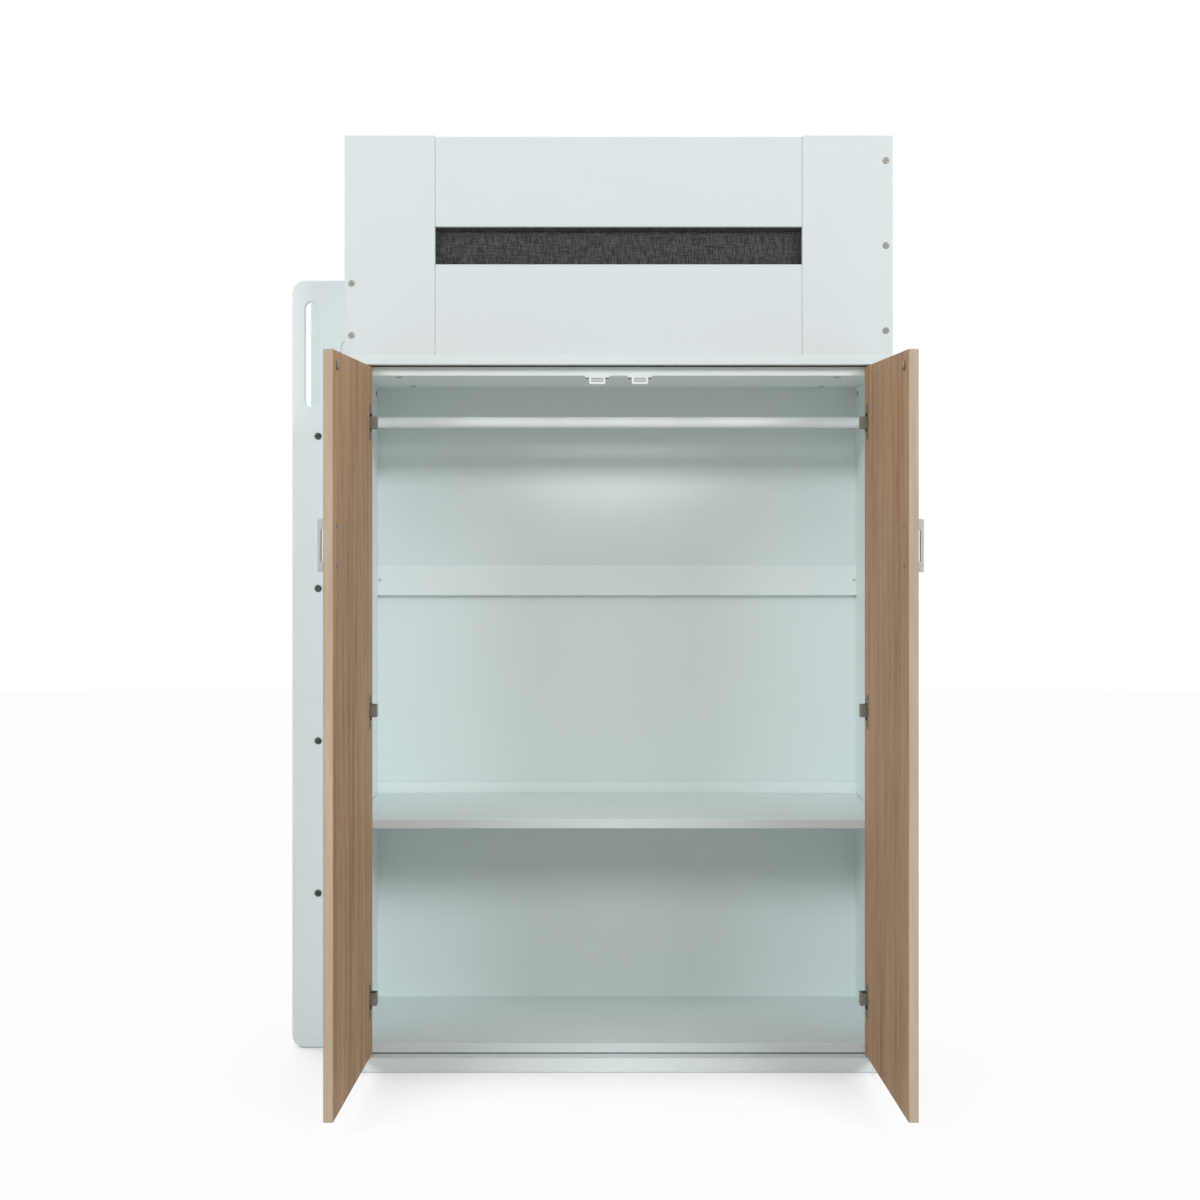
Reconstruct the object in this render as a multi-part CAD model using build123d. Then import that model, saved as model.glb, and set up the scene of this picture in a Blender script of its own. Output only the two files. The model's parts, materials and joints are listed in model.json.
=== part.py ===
from build123d import *
import os
from collections import namedtuple

# Loft bed for one mattress. A wardrobe with two doors carries its head end, two legs carry its foot end,
# and a ladder stands at its left side. All sizes are millimetres. Facing the wardrobe, +X is right, +Y is
# away and +Z is up. The origin is on the floor under the plinth, a little behind the wardrobe's front.

# Mattress
mattress_width = 900
mattress_length = 2000
mattress_height = 190
mattress_side_gap = 11
mattress_end_gap = 5
mattress_corner_radius = 45
mattress_edge_radius = 14

# Boards of the bed frame
stile_thickness = 18
stile_width = 160
stile_rise = 2
end_rail_setback = 2
side_board = 24
rail_height = 159.5
guard_gap = 66.5
foot_stretcher_height = 100
foot_stretcher_lift = 150
stretcher_dowel_inset = 25
edge_break = 0.8

# Slatted base
ledge_width = 30
ledge_height = 25
ledge_lift = 4
slat_count = 14
slat_width = 70
slat_thickness = 15
slat_end_gap = 1
slat_first_gap = 40

# Guard at the ladder side
post_width = 90
post_ladder_gap = 20
post_spacing = 750

# Wardrobe carcass
wardrobe_height = 1253
wardrobe_depth = 425
cover_thickness = 18
cover_overhang = 15
side_thickness = 18
panel_thickness = 16
panel_setback = 28
plinth_height = 25
plinth_depth = 45
origin_setback = 8
floor_gap = 3.5
ceiling_gap = 2.5
back_thickness = 3
back_overlap = 15
back_lift = 30
back_rail_height = 60
back_rail_thickness = 16
back_rail_upper_drop = 424
back_rail_lower_bottom = 406
shelf_top = 443.6
shelf_setback = 30
shelf_side_gap = 1
shelf_back_gap = 2
shelf_pin_radius = 2.5
shelf_pin_length = 20
shelf_pin_inset = 50
hanger_radius = 10
hanger_wall = 1.2
hanger_setback = 200
hanger_drop = 76.5
socket_flange_radius = 20
socket_flange_thickness = 3
socket_wall = 2.3
socket_length = 17
cam_radius = 6
cam_depth = 10
cam_proud = 0.4
cam_inset = 72
cam_setback = 46
side_cam_drop = 32
side_cam_setback = 396
rail_cam_radius = 3
rail_cam_inset = 5

# Doors
door_thickness = 16
door_gap = 2.5
door_open_angle = 92
cup_radius = 17.5
cup_depth = 12.5
cup_wall = 0.8
cup_edge_distance = 7
cup_flange_radius = 19.5
cup_flange_thickness = 1.2
cup_flange_half_height = 31
cup_flange_width = 13
cup_screw_offset = 9.5
cup_screw_spread = 24
hinge_end_distance = 100
pivot_side_distance = 19.5
pivot_setback = 7.5
pin_radius = 1.25
arm_thickness = 2.5
arm_width = 22
arm_reach = 36.75
arm_tail = 72
arm_sweep_gap = 2.3
eye_radius = 2.7
plate_thickness = 3
plate_front = 33
plate_wing_front = 40
plate_wing_back = 56
plate_half_height = 24
plate_screw_spread = 17
arm_screw_setback = 64
handle_length = 85
handle_hole_spread = 64
handle_projection = 14
handle_bar = 5
handle_width = 10
handle_foot = 16
handle_outer_radius = 2
handle_inner_radius = 3
handle_edge_distance = 38
handle_drop = 311.5
strike_radius = 8
strike_thickness = 4
strike_rounding = 1.2
strike_edge_distance = 37
catch_offset = 38
catch_flange_width = 45
catch_flange_thickness = 3
catch_flange_depth = 30
catch_body_width = 29
catch_body_height = 15
catch_body_depth = 16
catch_screw_spread = 18
catch_screw_setback = 22
magnet_width = 22
magnet_height = 6
magnet_thickness = 5

# Ladder
ladder_setback = 188
ladder_width = 291
ladder_board = 18
ladder_reach = 118
ladder_board_width = 90
ladder_drop = 10.5
ladder_head = 112
ladder_corner_radius = 24
ladder_notch_radius = 12
ladder_edge_break = 1.5
hand_slot_width = 24
hand_slot_length = 195
hand_slot_drop = 39
hand_slot_inset = 35.5
step_count = 4
step_first = 286
step_last_drop = 288
step_depth = 82
step_thickness = 22
step_inset = 4
bolt_inset = 48
bracket_leg = 40
bracket_thickness = 3
bracket_height = 50
bracket_screw_spread = 13

# Fasteners and fits
Screw = namedtuple("Screw", "head_radius head_height shank_radius length")
frame_screw = Screw(5.75, 1.8, 3.5, 45)
frame_screw_inset = 12
rail_screw_spread = 46
guard_screw_spread = 150.5
small_screw = Screw(3.4, 1.5, 1.7, 14)
cup_screw = Screw(3.4, 1.5, 1.7, 11)
handle_screw = Screw(4, 2, 2, 24)
ladder_bolt = Screw(6.5, 3, 3, 50)
head_rounding = 0.6
recess_width = 0.2
dowel_radius = 4
dowel_length = 32
dowel_blind_depth = 14
dowel_edge_distance = 40
fit = 0.1
pin_play = 0.15
magnet_gap = 0.5

# Places worked out from the sizes above
bed_width = mattress_width + 2 * (mattress_side_gap + side_board)
bed_length = mattress_length + 2 * (mattress_end_gap + stile_thickness)
outer = bed_width / 2
front = -origin_setback
foot = front + bed_length
frame_bottom = wardrobe_height + cover_thickness
lower_rail_top = frame_bottom + rail_height
upper_rail_bottom = lower_rail_top + guard_gap
guard_top = upper_rail_bottom + rail_height
stile_top = guard_top + stile_rise
stile_inner = outer - stile_width
rail_inner = outer - side_board
head_back = front + stile_thickness
foot_front = foot - stile_thickness
slat_bottom = frame_bottom + ledge_lift + ledge_height
mattress_bottom = slat_bottom + slat_thickness
inner = outer - side_thickness
carcass_back = front + wardrobe_depth
cover_back = carcass_back + cover_overhang
panel_front = front + panel_setback
floor_bottom = plinth_height + floor_gap
floor_top = floor_bottom + panel_thickness
ceiling_top = wardrobe_height - ceiling_gap
ceiling_bottom = ceiling_top - panel_thickness
back_rail_front = carcass_back - back_rail_thickness
back_rail_upper_bottom = wardrobe_height - back_rail_upper_drop
hanger_level = ceiling_bottom - hanger_drop
door_width = (2 * inner - 3 * door_gap) / 2
door_bottom = plinth_height + door_gap
door_top = wardrobe_height - door_gap
door_back = front + door_thickness
handle_level = door_top - handle_drop
door_hinge_edge = -inner + door_gap
door_free_edge = door_hinge_edge + door_width
cup_center = door_hinge_edge + cup_edge_distance + cup_radius
pivot_x = -inner + pivot_side_distance
pivot_y = front + pivot_setback
edge_reach = pivot_side_distance - door_gap
edge_sweep = (edge_reach**2 + (door_thickness - pivot_setback) ** 2) ** 0.5
hinge_low = door_bottom + hinge_end_distance
hinge_high = door_top - hinge_end_distance
hinge_levels = [hinge_low, (hinge_low + hinge_high) / 2, hinge_high]
strike_front = door_back + strike_thickness
catch_front = strike_front + magnet_gap
catch_level = ceiling_bottom - catch_body_height / 2
ladder_outer = -outer - ladder_reach
ladder_inner = ladder_outer + ladder_board_width
ladder_near = front + ladder_setback
ladder_far = ladder_near + ladder_width
ladder_height = lower_rail_top - ladder_drop
step_pitch = (ladder_height - step_last_drop - step_first) / (step_count - 1)
step_levels = [step_first + step_pitch * i for i in range(step_count)]
rail_screw_levels = {
    "lower": [frame_bottom + rail_height / 2 + d for d in (-rail_screw_spread, rail_screw_spread)],
    "upper": [guard_top - rail_height / 2 + d for d in (-rail_screw_spread, rail_screw_spread)],
}
guard_center = (frame_bottom + guard_top) / 2
guard_screw_levels = [guard_center + d for d in (-guard_screw_spread, 0, guard_screw_spread)]

LEFT, RIGHT = (-1, 0, 0), (1, 0, 0)
NEAR, AWAY = (0, -1, 0), (0, 1, 0)
DOWN, UP = (0, 0, -1), (0, 0, 1)
LOW_CORNER = (Align.MIN, Align.MIN, Align.MIN)
ON_TOP = (Align.CENTER, Align.CENTER, Align.MIN)
BELOW = (Align.CENTER, Align.CENTER, Align.MAX)

nodes = {}


# Shapes that every piece is made from
def block(x, y, z):
    """A plain block between two X, two Y and two Z values."""
    size = Box(x[1] - x[0], y[1] - y[0], z[1] - z[0], align=LOW_CORNER)
    return Pos(x[0], y[0], z[0]) * size


def board(x, y, z):
    """A block with its edges broken, as a banded board has them."""
    plain = block(x, y, z)
    return chamfer(plain.edges(), edge_break)


def rod(start, direction, radius, length):
    """A cylinder that starts at a point and runs in a direction."""
    return Plane(origin=start, z_dir=direction) * Cylinder(radius, length, align=ON_TOP)


def screw(kind, seat, outward):
    """A round-headed cross-recess screw whose head sits on a face at seat."""
    head = Cylinder(kind.head_radius, kind.head_height, align=ON_TOP)
    head = fillet(head.edges().sort_by(Axis.Z)[-1], head_rounding * kind.head_height)
    shank = Cylinder(kind.shank_radius, kind.length, align=BELOW)
    slot = Box(kind.head_radius, recess_width * kind.head_radius, kind.head_height)
    recess = Pos(0, 0, kind.head_height) * (slot + Rot(0, 0, 90) * slot)
    return Plane(origin=seat, z_dir=outward) * (head + shank - recess)


def screw_hole(kind, seat, outward):
    """The clearance hole that such a screw runs in."""
    inward = tuple(-v for v in outward)
    return rod(seat, inward, kind.shank_radius + fit, kind.length + fit)


def dowel(start, direction):
    return rod(start, direction, dowel_radius, dowel_length)


def dowel_hole(start, direction):
    """A hole for a dowel, longer than it by the fit at both ends."""
    begin = tuple(s - fit * d for s, d in zip(start, direction))
    return rod(begin, direction, dowel_radius + fit, dowel_length + 2 * fit)


def mirrored(shape):
    return mirror(shape, about=Plane.YZ)


def keep(name, *solids):
    """Name a piece, or a group of like pieces."""
    nodes[name] = solids[0] if len(solids) == 1 else Compound(list(solids))


def drilled(shape, holes):
    for hole in holes:
        shape = shape - hole
    return shape


# Fastener places, each as (seat, outward)
def end_screw_places(end_y, outward, with_guard):
    """Screws through the stiles or legs of one end into the long boards."""
    front_levels = rail_screw_levels["lower"] + (rail_screw_levels["upper"] if with_guard else [])
    left = [((-outer + frame_screw_inset, end_y, z), outward) for z in front_levels]
    right = [((outer - frame_screw_inset, end_y, z), outward) for z in guard_screw_levels]
    return left + right


def post_fronts():
    first = ladder_far + post_ladder_gap
    return [first, first + post_spacing]


def post_screw_places():
    levels = rail_screw_levels["lower"] + rail_screw_levels["upper"]
    seat_x = -outer - side_board
    return [((seat_x, y + post_width / 2, z), LEFT) for y in post_fronts() for z in levels]


frame_screw_places = (
    end_screw_places(front, NEAR, False) + end_screw_places(foot, AWAY, True) + post_screw_places()
)
frame_holes = [screw_hole(frame_screw, *place) for place in frame_screw_places]


def end_dowel_places(rail_y, levels):
    """Dowels between the ends of the rails and the stiles or legs."""
    begin = stile_inner - dowel_length / 2
    left = [((-begin, rail_y, z), LEFT) for z in levels]
    right = [((begin, rail_y, z), RIGHT) for z in levels]
    return left + right


def rail_dowel_levels(bottom, height):
    return [bottom + dowel_edge_distance, bottom + height - dowel_edge_distance]


end_rail_bottoms = (frame_bottom, upper_rail_bottom)
end_rail_levels = [z for bottom in end_rail_bottoms for z in rail_dowel_levels(bottom, rail_height)]
stretcher_top = foot_stretcher_lift + foot_stretcher_height
stretcher_levels = [foot_stretcher_lift + stretcher_dowel_inset, stretcher_top - stretcher_dowel_inset]
end_rail_thickness = stile_thickness - end_rail_setback
head_rail_y = head_back - end_rail_thickness / 2
foot_rail_y = foot_front + end_rail_thickness / 2
head_dowels = end_dowel_places(head_rail_y, end_rail_levels)
foot_dowels = end_dowel_places(foot_rail_y, end_rail_levels + stretcher_levels)
stile_dowels = [
    ((side * x, front + stile_thickness / 2, frame_bottom - dowel_blind_depth), UP)
    for side in (-1, 1)
    for x in (stile_inner + dowel_edge_distance, outer - dowel_edge_distance)
]
panel_dowel_rows = (panel_front + dowel_edge_distance, carcass_back - dowel_edge_distance)
panel_dowels = [
    ((side * (inner + dowel_blind_depth), y, z), (-side, 0, 0))
    for side in (-1, 1)
    for y in panel_dowel_rows
    for z in (floor_bottom + panel_thickness / 2, ceiling_bottom + panel_thickness / 2)
]
dowel_places = head_dowels + foot_dowels + stile_dowels + panel_dowels
dowel_holes = [dowel_hole(*place) for place in dowel_places]


def cut_for(shape, holes):
    """Cut only the holes that reach a board."""
    box = shape.bounding_box()
    near = [h for h in holes if box.overlaps(h.bounding_box())]
    return drilled(shape, near)


# Hinge hardware on the left side; the right side is its mirror image
def plate_screw_places(z):
    middle = (plate_wing_front + plate_wing_back) / 2
    face = -inner + plate_thickness
    return [((face, front + middle, z + d), RIGHT) for d in (-plate_screw_spread, plate_screw_spread)]


def arm_screw_place(z):
    return ((-inner + plate_thickness + arm_thickness, front + arm_screw_setback, z), RIGHT)


def hinge_plate(z):
    """A mounting plate with two wings, screwed to the wardrobe's side."""
    depth = (-inner, -inner + plate_thickness)
    spine = block(depth, (front + plate_front, front + arm_tail), (z - arm_width / 2, z + arm_width / 2))
    wings_y = (front + plate_wing_front, front + plate_wing_back)
    wings = block(depth, wings_y, (z - plate_half_height, z + plate_half_height))
    plate = fillet((spine + wings).edges().filter_by(Axis.X), plate_thickness)
    return drilled(plate, [screw_hole(small_screw, *p) for p in plate_screw_places(z) + [arm_screw_place(z)]])


def hinge_arm(z):
    """A strip bent like a gooseneck, from the plate round the door's edge to the eye at the pivot."""
    half = arm_thickness / 2
    tail_x = -inner + plate_thickness + half
    cross_y = pivot_y + edge_sweep + arm_sweep_gap
    neck_x = -inner + arm_reach
    corners = [(pivot_x, pivot_y), (neck_x, pivot_y), (neck_x, cross_y), (tail_x, cross_y)]
    corners.append((tail_x, front + arm_tail - half))
    height = (z - arm_width / 2, z + arm_width / 2)
    strip = None
    for (x0, y0), (x1, y1) in zip(corners, corners[1:]):
        run_x = (min(x0, x1) - half, max(x0, x1) + half)
        run_y = (min(y0, y1) - half, max(y0, y1) + half)
        run = block(run_x, run_y, height)
        strip = run if strip is None else strip + run
    eye = rod((pivot_x, pivot_y, height[0]), UP, eye_radius, arm_width)
    bore = rod((pivot_x, pivot_y, height[0]), UP, pin_radius + pin_play, arm_width)
    return strip + eye - bore - screw_hole(small_screw, *arm_screw_place(z))


def cup_screw_places(z):
    x, y = cup_center + cup_screw_offset, door_back + cup_flange_thickness
    return [((x, y, z + d), AWAY) for d in (-cup_screw_spread, cup_screw_spread)]


def hinge_cup(z):
    """A round cup let into the door, with a flange that is screwed to the door's inner face."""
    center = (cup_center, door_back, z)
    shell = rod(center, NEAR, cup_radius - fit, cup_depth - fit)
    disc = rod(center, AWAY, cup_flange_radius, cup_flange_thickness)
    bar_center = cup_center + cup_screw_offset
    bar = block(
        (bar_center - cup_flange_width / 2, bar_center + cup_flange_width / 2),
        (door_back, door_back + cup_flange_thickness),
        (z - cup_flange_half_height, z + cup_flange_half_height),
    )
    hollow_start = (cup_center, door_back + cup_flange_thickness, z)
    hollow = rod(hollow_start, NEAR, cup_radius - cup_wall, cup_depth - fit - cup_wall + cup_flange_thickness)
    pin_hole = rod((pivot_x, pivot_y, z - cup_radius), UP, pin_radius + fit, 2 * cup_radius)
    cup = shell + disc + bar - hollow - pin_hole
    return drilled(cup, [screw_hole(cup_screw, *p) for p in cup_screw_places(z)])


def hinge_pin(z):
    """A pin across the cup, on the door's axis."""
    farthest = cup_center - pivot_x + pin_radius
    half = ((cup_radius - 2 * fit) ** 2 - farthest**2) ** 0.5
    return rod((pivot_x, pivot_y, z - half), UP, pin_radius, 2 * half)


# Doors, made closed on the left, then swung open
def handle_screw_places():
    x = door_free_edge - handle_edge_distance
    levels = [handle_level + d for d in (-handle_hole_spread / 2, handle_hole_spread / 2)]
    return [((x, door_back, z), AWAY) for z in levels]


def door_panel():
    panel = board((door_hinge_edge, door_free_edge), (front, door_back), (door_bottom, door_top))
    holes = [screw_hole(handle_screw, *p) for p in handle_screw_places()]
    for z in hinge_levels:
        holes.append(rod((cup_center, door_back, z), NEAR, cup_radius, cup_depth))
        holes += [screw_hole(cup_screw, *p) for p in cup_screw_places(z)]
    return drilled(panel, holes)


def handle():
    """A square bar that stands off the door on a wide foot at each end."""
    half = handle_length / 2
    gap = handle_projection - handle_bar
    grip = half - handle_foot
    plane = Plane(origin=(door_free_edge - handle_edge_distance, front, handle_level), x_dir=UP, z_dir=RIGHT)
    outside = [(-half, 0), (-half, handle_projection), (half, handle_projection), (half, 0)]
    inside = [(grip, 0), (grip, gap), (-grip, gap), (-grip, 0)]
    radii = [0, handle_outer_radius, handle_outer_radius, 0, 0, handle_inner_radius, handle_inner_radius, 0]
    outline = make_face(FilletPolyline(*outside, *inside, radius=radii, close=True))
    bar = extrude(plane * outline, handle_width / 2, both=True)
    return drilled(bar, [screw_hole(handle_screw, *p) for p in handle_screw_places()])


def strike_plate():
    center = (door_free_edge - strike_edge_distance, door_back, catch_level)
    disc = rod(center, AWAY, strike_radius, strike_thickness)
    return fillet(disc.edges().sort_by(Axis.Y)[-1], strike_rounding)


def opened(shape):
    """Swing a piece of the closed left door to the angle at which it stands open."""
    return shape.rotate(Axis((pivot_x, pivot_y, 0), UP), -door_open_angle)


def make_doors():
    pieces = {
        "door": [door_panel()],
        "hinge_cups": [hinge_cup(z) for z in hinge_levels],
        "hinge_pins": [hinge_pin(z) for z in hinge_levels],
        "cup_screws": [screw(cup_screw, *p) for z in hinge_levels for p in cup_screw_places(z)],
        "handle": [handle()],
        "handle_screws": [screw(handle_screw, *p) for p in handle_screw_places()],
        "strike_plate": [strike_plate()],
    }
    for name, solids in pieces.items():
        left = [opened(s) for s in solids]
        keep(name + "_left", *left)
        keep(name + "_right", *[mirrored(s) for s in left])


# Wardrobe
def hanger_screw_places():
    """Screws of the left socket of the hanging rail."""
    reach = (hanger_radius + socket_wall + socket_flange_radius) / 2
    face = -inner + socket_flange_thickness
    return [((face, front + hanger_setback, hanger_level + d), RIGHT) for d in (-reach, reach)]


def side_screw_places():
    """Every small screw that enters the left side of the wardrobe."""
    places = hanger_screw_places()
    for z in hinge_levels:
        places += plate_screw_places(z) + [arm_screw_place(z)]
    return places


def ceiling_cam_places():
    """Cam fasteners in the left half of the ceiling, as (centre of the visible face, outward)."""
    rows = (panel_front + cam_setback, carcass_back - cam_setback)
    return [((-inner + cam_inset, y, ceiling_bottom), DOWN) for y in rows]


def side_cam_place():
    """The cam fastener near the top of the left side."""
    return ((-inner, front + side_cam_setback, wardrobe_height - side_cam_drop), RIGHT)


def back_rail_cam_place(bottom):
    """The cam fastener in the left end of a back rail."""
    return ((-inner + rail_cam_inset, back_rail_front, bottom + back_rail_height / 2), NEAR)


def cam(center, outward, radius=cam_radius):
    begin = tuple(c + cam_proud * o for c, o in zip(center, outward))
    inward = tuple(-o for o in outward)
    return rod(begin, inward, radius, cam_depth + cam_proud)


def cam_hole(center, outward, radius=cam_radius):
    inward = tuple(-o for o in outward)
    return rod(center, inward, radius + fit, cam_depth + fit)


def shelf_pin_places():
    """Starts of the two pins in the left side."""
    z = shelf_top - panel_thickness - shelf_pin_radius - fit
    rows = (front + shelf_setback + shelf_pin_inset, back_rail_front - shelf_pin_inset)
    return [(-inner - shelf_pin_length / 2, y, z) for y in rows]


def wardrobe_side():
    """The left side, drilled for all that is fixed to it."""
    side = board((-outer, -inner), (front, carcass_back), (0, wardrobe_height))
    holes = [screw_hole(small_screw, *p) for p in side_screw_places()]
    holes.append(cam_hole(*side_cam_place()))
    holes += [rod(p, RIGHT, shelf_pin_radius + fit, shelf_pin_length) for p in shelf_pin_places()]
    return cut_for(drilled(side, holes), dowel_holes)


def hanger_socket():
    """A flange with a collar that the hanging rail's end sits in."""
    center = (-inner, front + hanger_setback, hanger_level)
    flange = rod(center, RIGHT, socket_flange_radius, socket_flange_thickness)
    collar = rod(center, RIGHT, hanger_radius + fit + socket_wall, socket_length)
    seat = (-inner + socket_flange_thickness, center[1], center[2])
    bore = rod(seat, RIGHT, hanger_radius + fit, socket_length)
    return drilled(flange + collar - bore, [screw_hole(small_screw, *p) for p in hanger_screw_places()])


def hanging_rail():
    reach = inner - socket_flange_thickness - fit
    start = (-reach, front + hanger_setback, hanger_level)
    tube = rod(start, RIGHT, hanger_radius, 2 * reach)
    return tube - rod(start, RIGHT, hanger_radius - hanger_wall, 2 * reach)


def catch_screw_places():
    """Screws of the left catch, up into the ceiling."""
    y = catch_front + catch_screw_setback
    z = ceiling_bottom - catch_flange_thickness
    return [((-catch_offset + d, y, z), DOWN) for d in (-catch_screw_spread, catch_screw_spread)]


def magnet():
    """The magnet in the front of the left catch."""
    x = (-catch_offset - magnet_width / 2, -catch_offset + magnet_width / 2)
    z = (catch_level - magnet_height / 2, catch_level + magnet_height / 2)
    return block(x, (catch_front, catch_front + magnet_thickness), z)


def catch_housing():
    """The left magnetic catch: a flange under the ceiling and a body that holds the magnet."""
    wide = (-catch_offset - catch_flange_width / 2, -catch_offset + catch_flange_width / 2)
    narrow = (-catch_offset - catch_body_width / 2, -catch_offset + catch_body_width / 2)
    flange_z = (ceiling_bottom - catch_flange_thickness, ceiling_bottom)
    flange = block(wide, (catch_front, catch_front + catch_flange_depth), flange_z)
    flange = fillet(flange.edges().filter_by(Axis.Z), catch_flange_thickness)
    body_y = (catch_front, catch_front + catch_body_depth)
    body = block(narrow, body_y, (ceiling_bottom - catch_body_height, ceiling_bottom))
    body = fillet(body.edges().filter_by(Axis.Y).group_by(Axis.Z)[0], catch_flange_thickness)
    return drilled(flange + body - magnet(), [screw_hole(small_screw, *p) for p in catch_screw_places()])


def make_wardrobe():
    side = wardrobe_side()
    keep("wardrobe_side_left", side)
    keep("wardrobe_side_right", mirrored(side))
    cover = board((-outer, outer), (front, cover_back), (wardrobe_height, frame_bottom))
    keep("wardrobe_cover", cut_for(cover, dowel_holes))
    panel_y = (panel_front, carcass_back)
    floor = board((-inner, inner), panel_y, (floor_bottom, floor_top))
    keep("wardrobe_floor", cut_for(floor, dowel_holes))
    ceiling = board((-inner, inner), panel_y, (ceiling_bottom, ceiling_top))
    ceiling_holes = [cam_hole(*p) for p in ceiling_cam_places()]
    ceiling_holes += [screw_hole(small_screw, *p) for p in catch_screw_places()]
    ceiling_holes += [mirrored(h) for h in ceiling_holes]
    keep("wardrobe_ceiling", drilled(cut_for(ceiling, dowel_holes), ceiling_holes))
    keep("plinth_front", board((-inner, inner), (front, front + plinth_depth), (0, plinth_height)))
    cams = [cam(*p) for p in ceiling_cam_places()] + [cam(*side_cam_place())]
    for name, bottom in (("upper", back_rail_upper_bottom), ("lower", back_rail_lower_bottom)):
        rail = board((-inner, inner), (back_rail_front, carcass_back), (bottom, bottom + back_rail_height))
        place = back_rail_cam_place(bottom)
        hole = cam_hole(*place, rail_cam_radius)
        keep("back_rail_" + name, rail - hole - mirrored(hole))
        cams.append(cam(*place, rail_cam_radius))
    keep("cam_fasteners", *cams, *[mirrored(c) for c in cams])
    split = back_rail_upper_bottom + back_rail_height / 2
    back_x = (-inner - back_overlap, inner + back_overlap)
    back_y = (carcass_back, carcass_back + back_thickness)
    keep("back_panel_upper", block(back_x, back_y, (split, ceiling_top)))
    keep("back_panel_lower", block(back_x, back_y, (back_lift, split)))
    shelf_x = (-inner + shelf_side_gap, inner - shelf_side_gap)
    shelf_y = (front + shelf_setback, back_rail_front - shelf_back_gap)
    keep("wardrobe_shelf", board(shelf_x, shelf_y, (shelf_top - panel_thickness, shelf_top)))
    pins = [rod(p, RIGHT, shelf_pin_radius, shelf_pin_length) for p in shelf_pin_places()]
    keep("shelf_pins", *pins, *[mirrored(p) for p in pins])
    keep("hanging_rail", hanging_rail())
    keep("hanging_rail_sockets", hanger_socket(), mirrored(hanger_socket()))
    keep("catch_housings", catch_housing(), mirrored(catch_housing()))
    keep("catch_magnets", magnet(), mirrored(magnet()))
    plates = [hinge_plate(z) for z in hinge_levels]
    keep("hinge_plates", *plates, *[mirrored(p) for p in plates])
    arms = [hinge_arm(z) for z in hinge_levels]
    keep("hinge_arms", *arms, *[mirrored(a) for a in arms])


# Bed frame
def make_head_board():
    stile_y = (front, head_back)
    stile = board((-outer, -stile_inner), stile_y, (frame_bottom, stile_top))
    keep("head_stile_left", cut_for(stile, frame_holes + dowel_holes))
    keep("head_stile_right", cut_for(mirrored(stile), frame_holes + dowel_holes))
    rail_y = (head_back - end_rail_thickness, head_back)
    for name, bottom in (("lower", frame_bottom), ("upper", upper_rail_bottom)):
        rail = board((-stile_inner, stile_inner), rail_y, (bottom, bottom + rail_height))
        keep("head_rail_" + name, cut_for(rail, dowel_holes))


def make_foot_board():
    leg = board((-outer, -stile_inner), (foot_front, foot), (0, stile_top))
    keep("foot_leg_left", cut_for(leg, frame_holes + dowel_holes))
    keep("foot_leg_right", cut_for(mirrored(leg), frame_holes + dowel_holes))
    rail_y = (foot_front, foot_front + end_rail_thickness)
    rails = {
        "foot_rail_lower": (frame_bottom, lower_rail_top),
        "foot_rail_upper": (upper_rail_bottom, guard_top),
        "foot_stretcher": (foot_stretcher_lift, stretcher_top),
    }
    for name, z in rails.items():
        keep(name, cut_for(board((-stile_inner, stile_inner), rail_y, z), dowel_holes))


def make_side_boards():
    long_y = (head_back, foot_front)
    left_x = (-outer, -rail_inner)
    bracket_holes = [screw_hole(small_screw, *p) for p in bracket_screw_places()]
    front_rail = board(left_x, long_y, (frame_bottom, lower_rail_top))
    keep("side_rail_front", cut_for(front_rail, frame_holes + bracket_holes))
    guard = board((rail_inner, outer), long_y, (frame_bottom, guard_top))
    keep("wall_guard", cut_for(guard, frame_holes))
    guard_rail = board(left_x, (post_fronts()[0], foot_front), (upper_rail_bottom, guard_top))
    keep("guard_rail", cut_for(guard_rail, frame_holes))
    post_x = (-outer - side_board, -outer)
    posts = [board(post_x, (y, y + post_width), (frame_bottom, guard_top)) for y in post_fronts()]
    keep("guard_posts", *[cut_for(p, frame_holes) for p in posts])


def make_slatted_base():
    ledge_z = (frame_bottom + ledge_lift, slat_bottom)
    ledge = board((-rail_inner, -rail_inner + ledge_width), (head_back, foot_front), ledge_z)
    keep("slat_ledges", ledge, mirrored(ledge))
    first = head_back + slat_first_gap
    pitch = (foot_front - slat_first_gap - slat_width - first) / (slat_count - 1)
    half = rail_inner - slat_end_gap
    rows = [first + pitch * i for i in range(slat_count)]
    keep("slats", *[board((-half, half), (y, y + slat_width), (slat_bottom, mattress_bottom)) for y in rows])


def make_mattress():
    half = mattress_width / 2
    begin = head_back + mattress_end_gap
    plain = block(
        (-half, half), (begin, begin + mattress_length), (mattress_bottom, mattress_bottom + mattress_height)
    )
    rounded = fillet(plain.edges().filter_by(Axis.Z), mattress_corner_radius)
    rims = rounded.faces().filter_by(Axis.Z)
    keep("mattress", fillet([e for face in rims for e in face.edges()], mattress_edge_radius))


# Ladder
def step_bolt_places():
    x = ladder_outer + bolt_inset
    near = [((x, ladder_near, z), NEAR) for z in step_levels]
    far = [((x, ladder_far, z), AWAY) for z in step_levels]
    return near + far


def bracket_faces():
    """The inner face of each ladder side, and the way from it to the other side."""
    return [(ladder_near + ladder_board, 1), (ladder_far - ladder_board, -1)]


def bracket_level():
    return ladder_height - ladder_head / 2


def bracket_screw_places():
    """Two screws into the ladder's side and two into the bed's rail, for each bracket."""
    levels = [bracket_level() + d for d in (-bracket_screw_spread, bracket_screw_spread)]
    reach = (bracket_leg + bracket_thickness) / 2
    places = []
    for face, way in bracket_faces():
        for z in levels:
            places.append(((-outer - reach, face + way * bracket_thickness, z), (0, way, 0)))
            places.append(((-outer - bracket_thickness, face + way * reach, z), LEFT))
    return places


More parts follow.
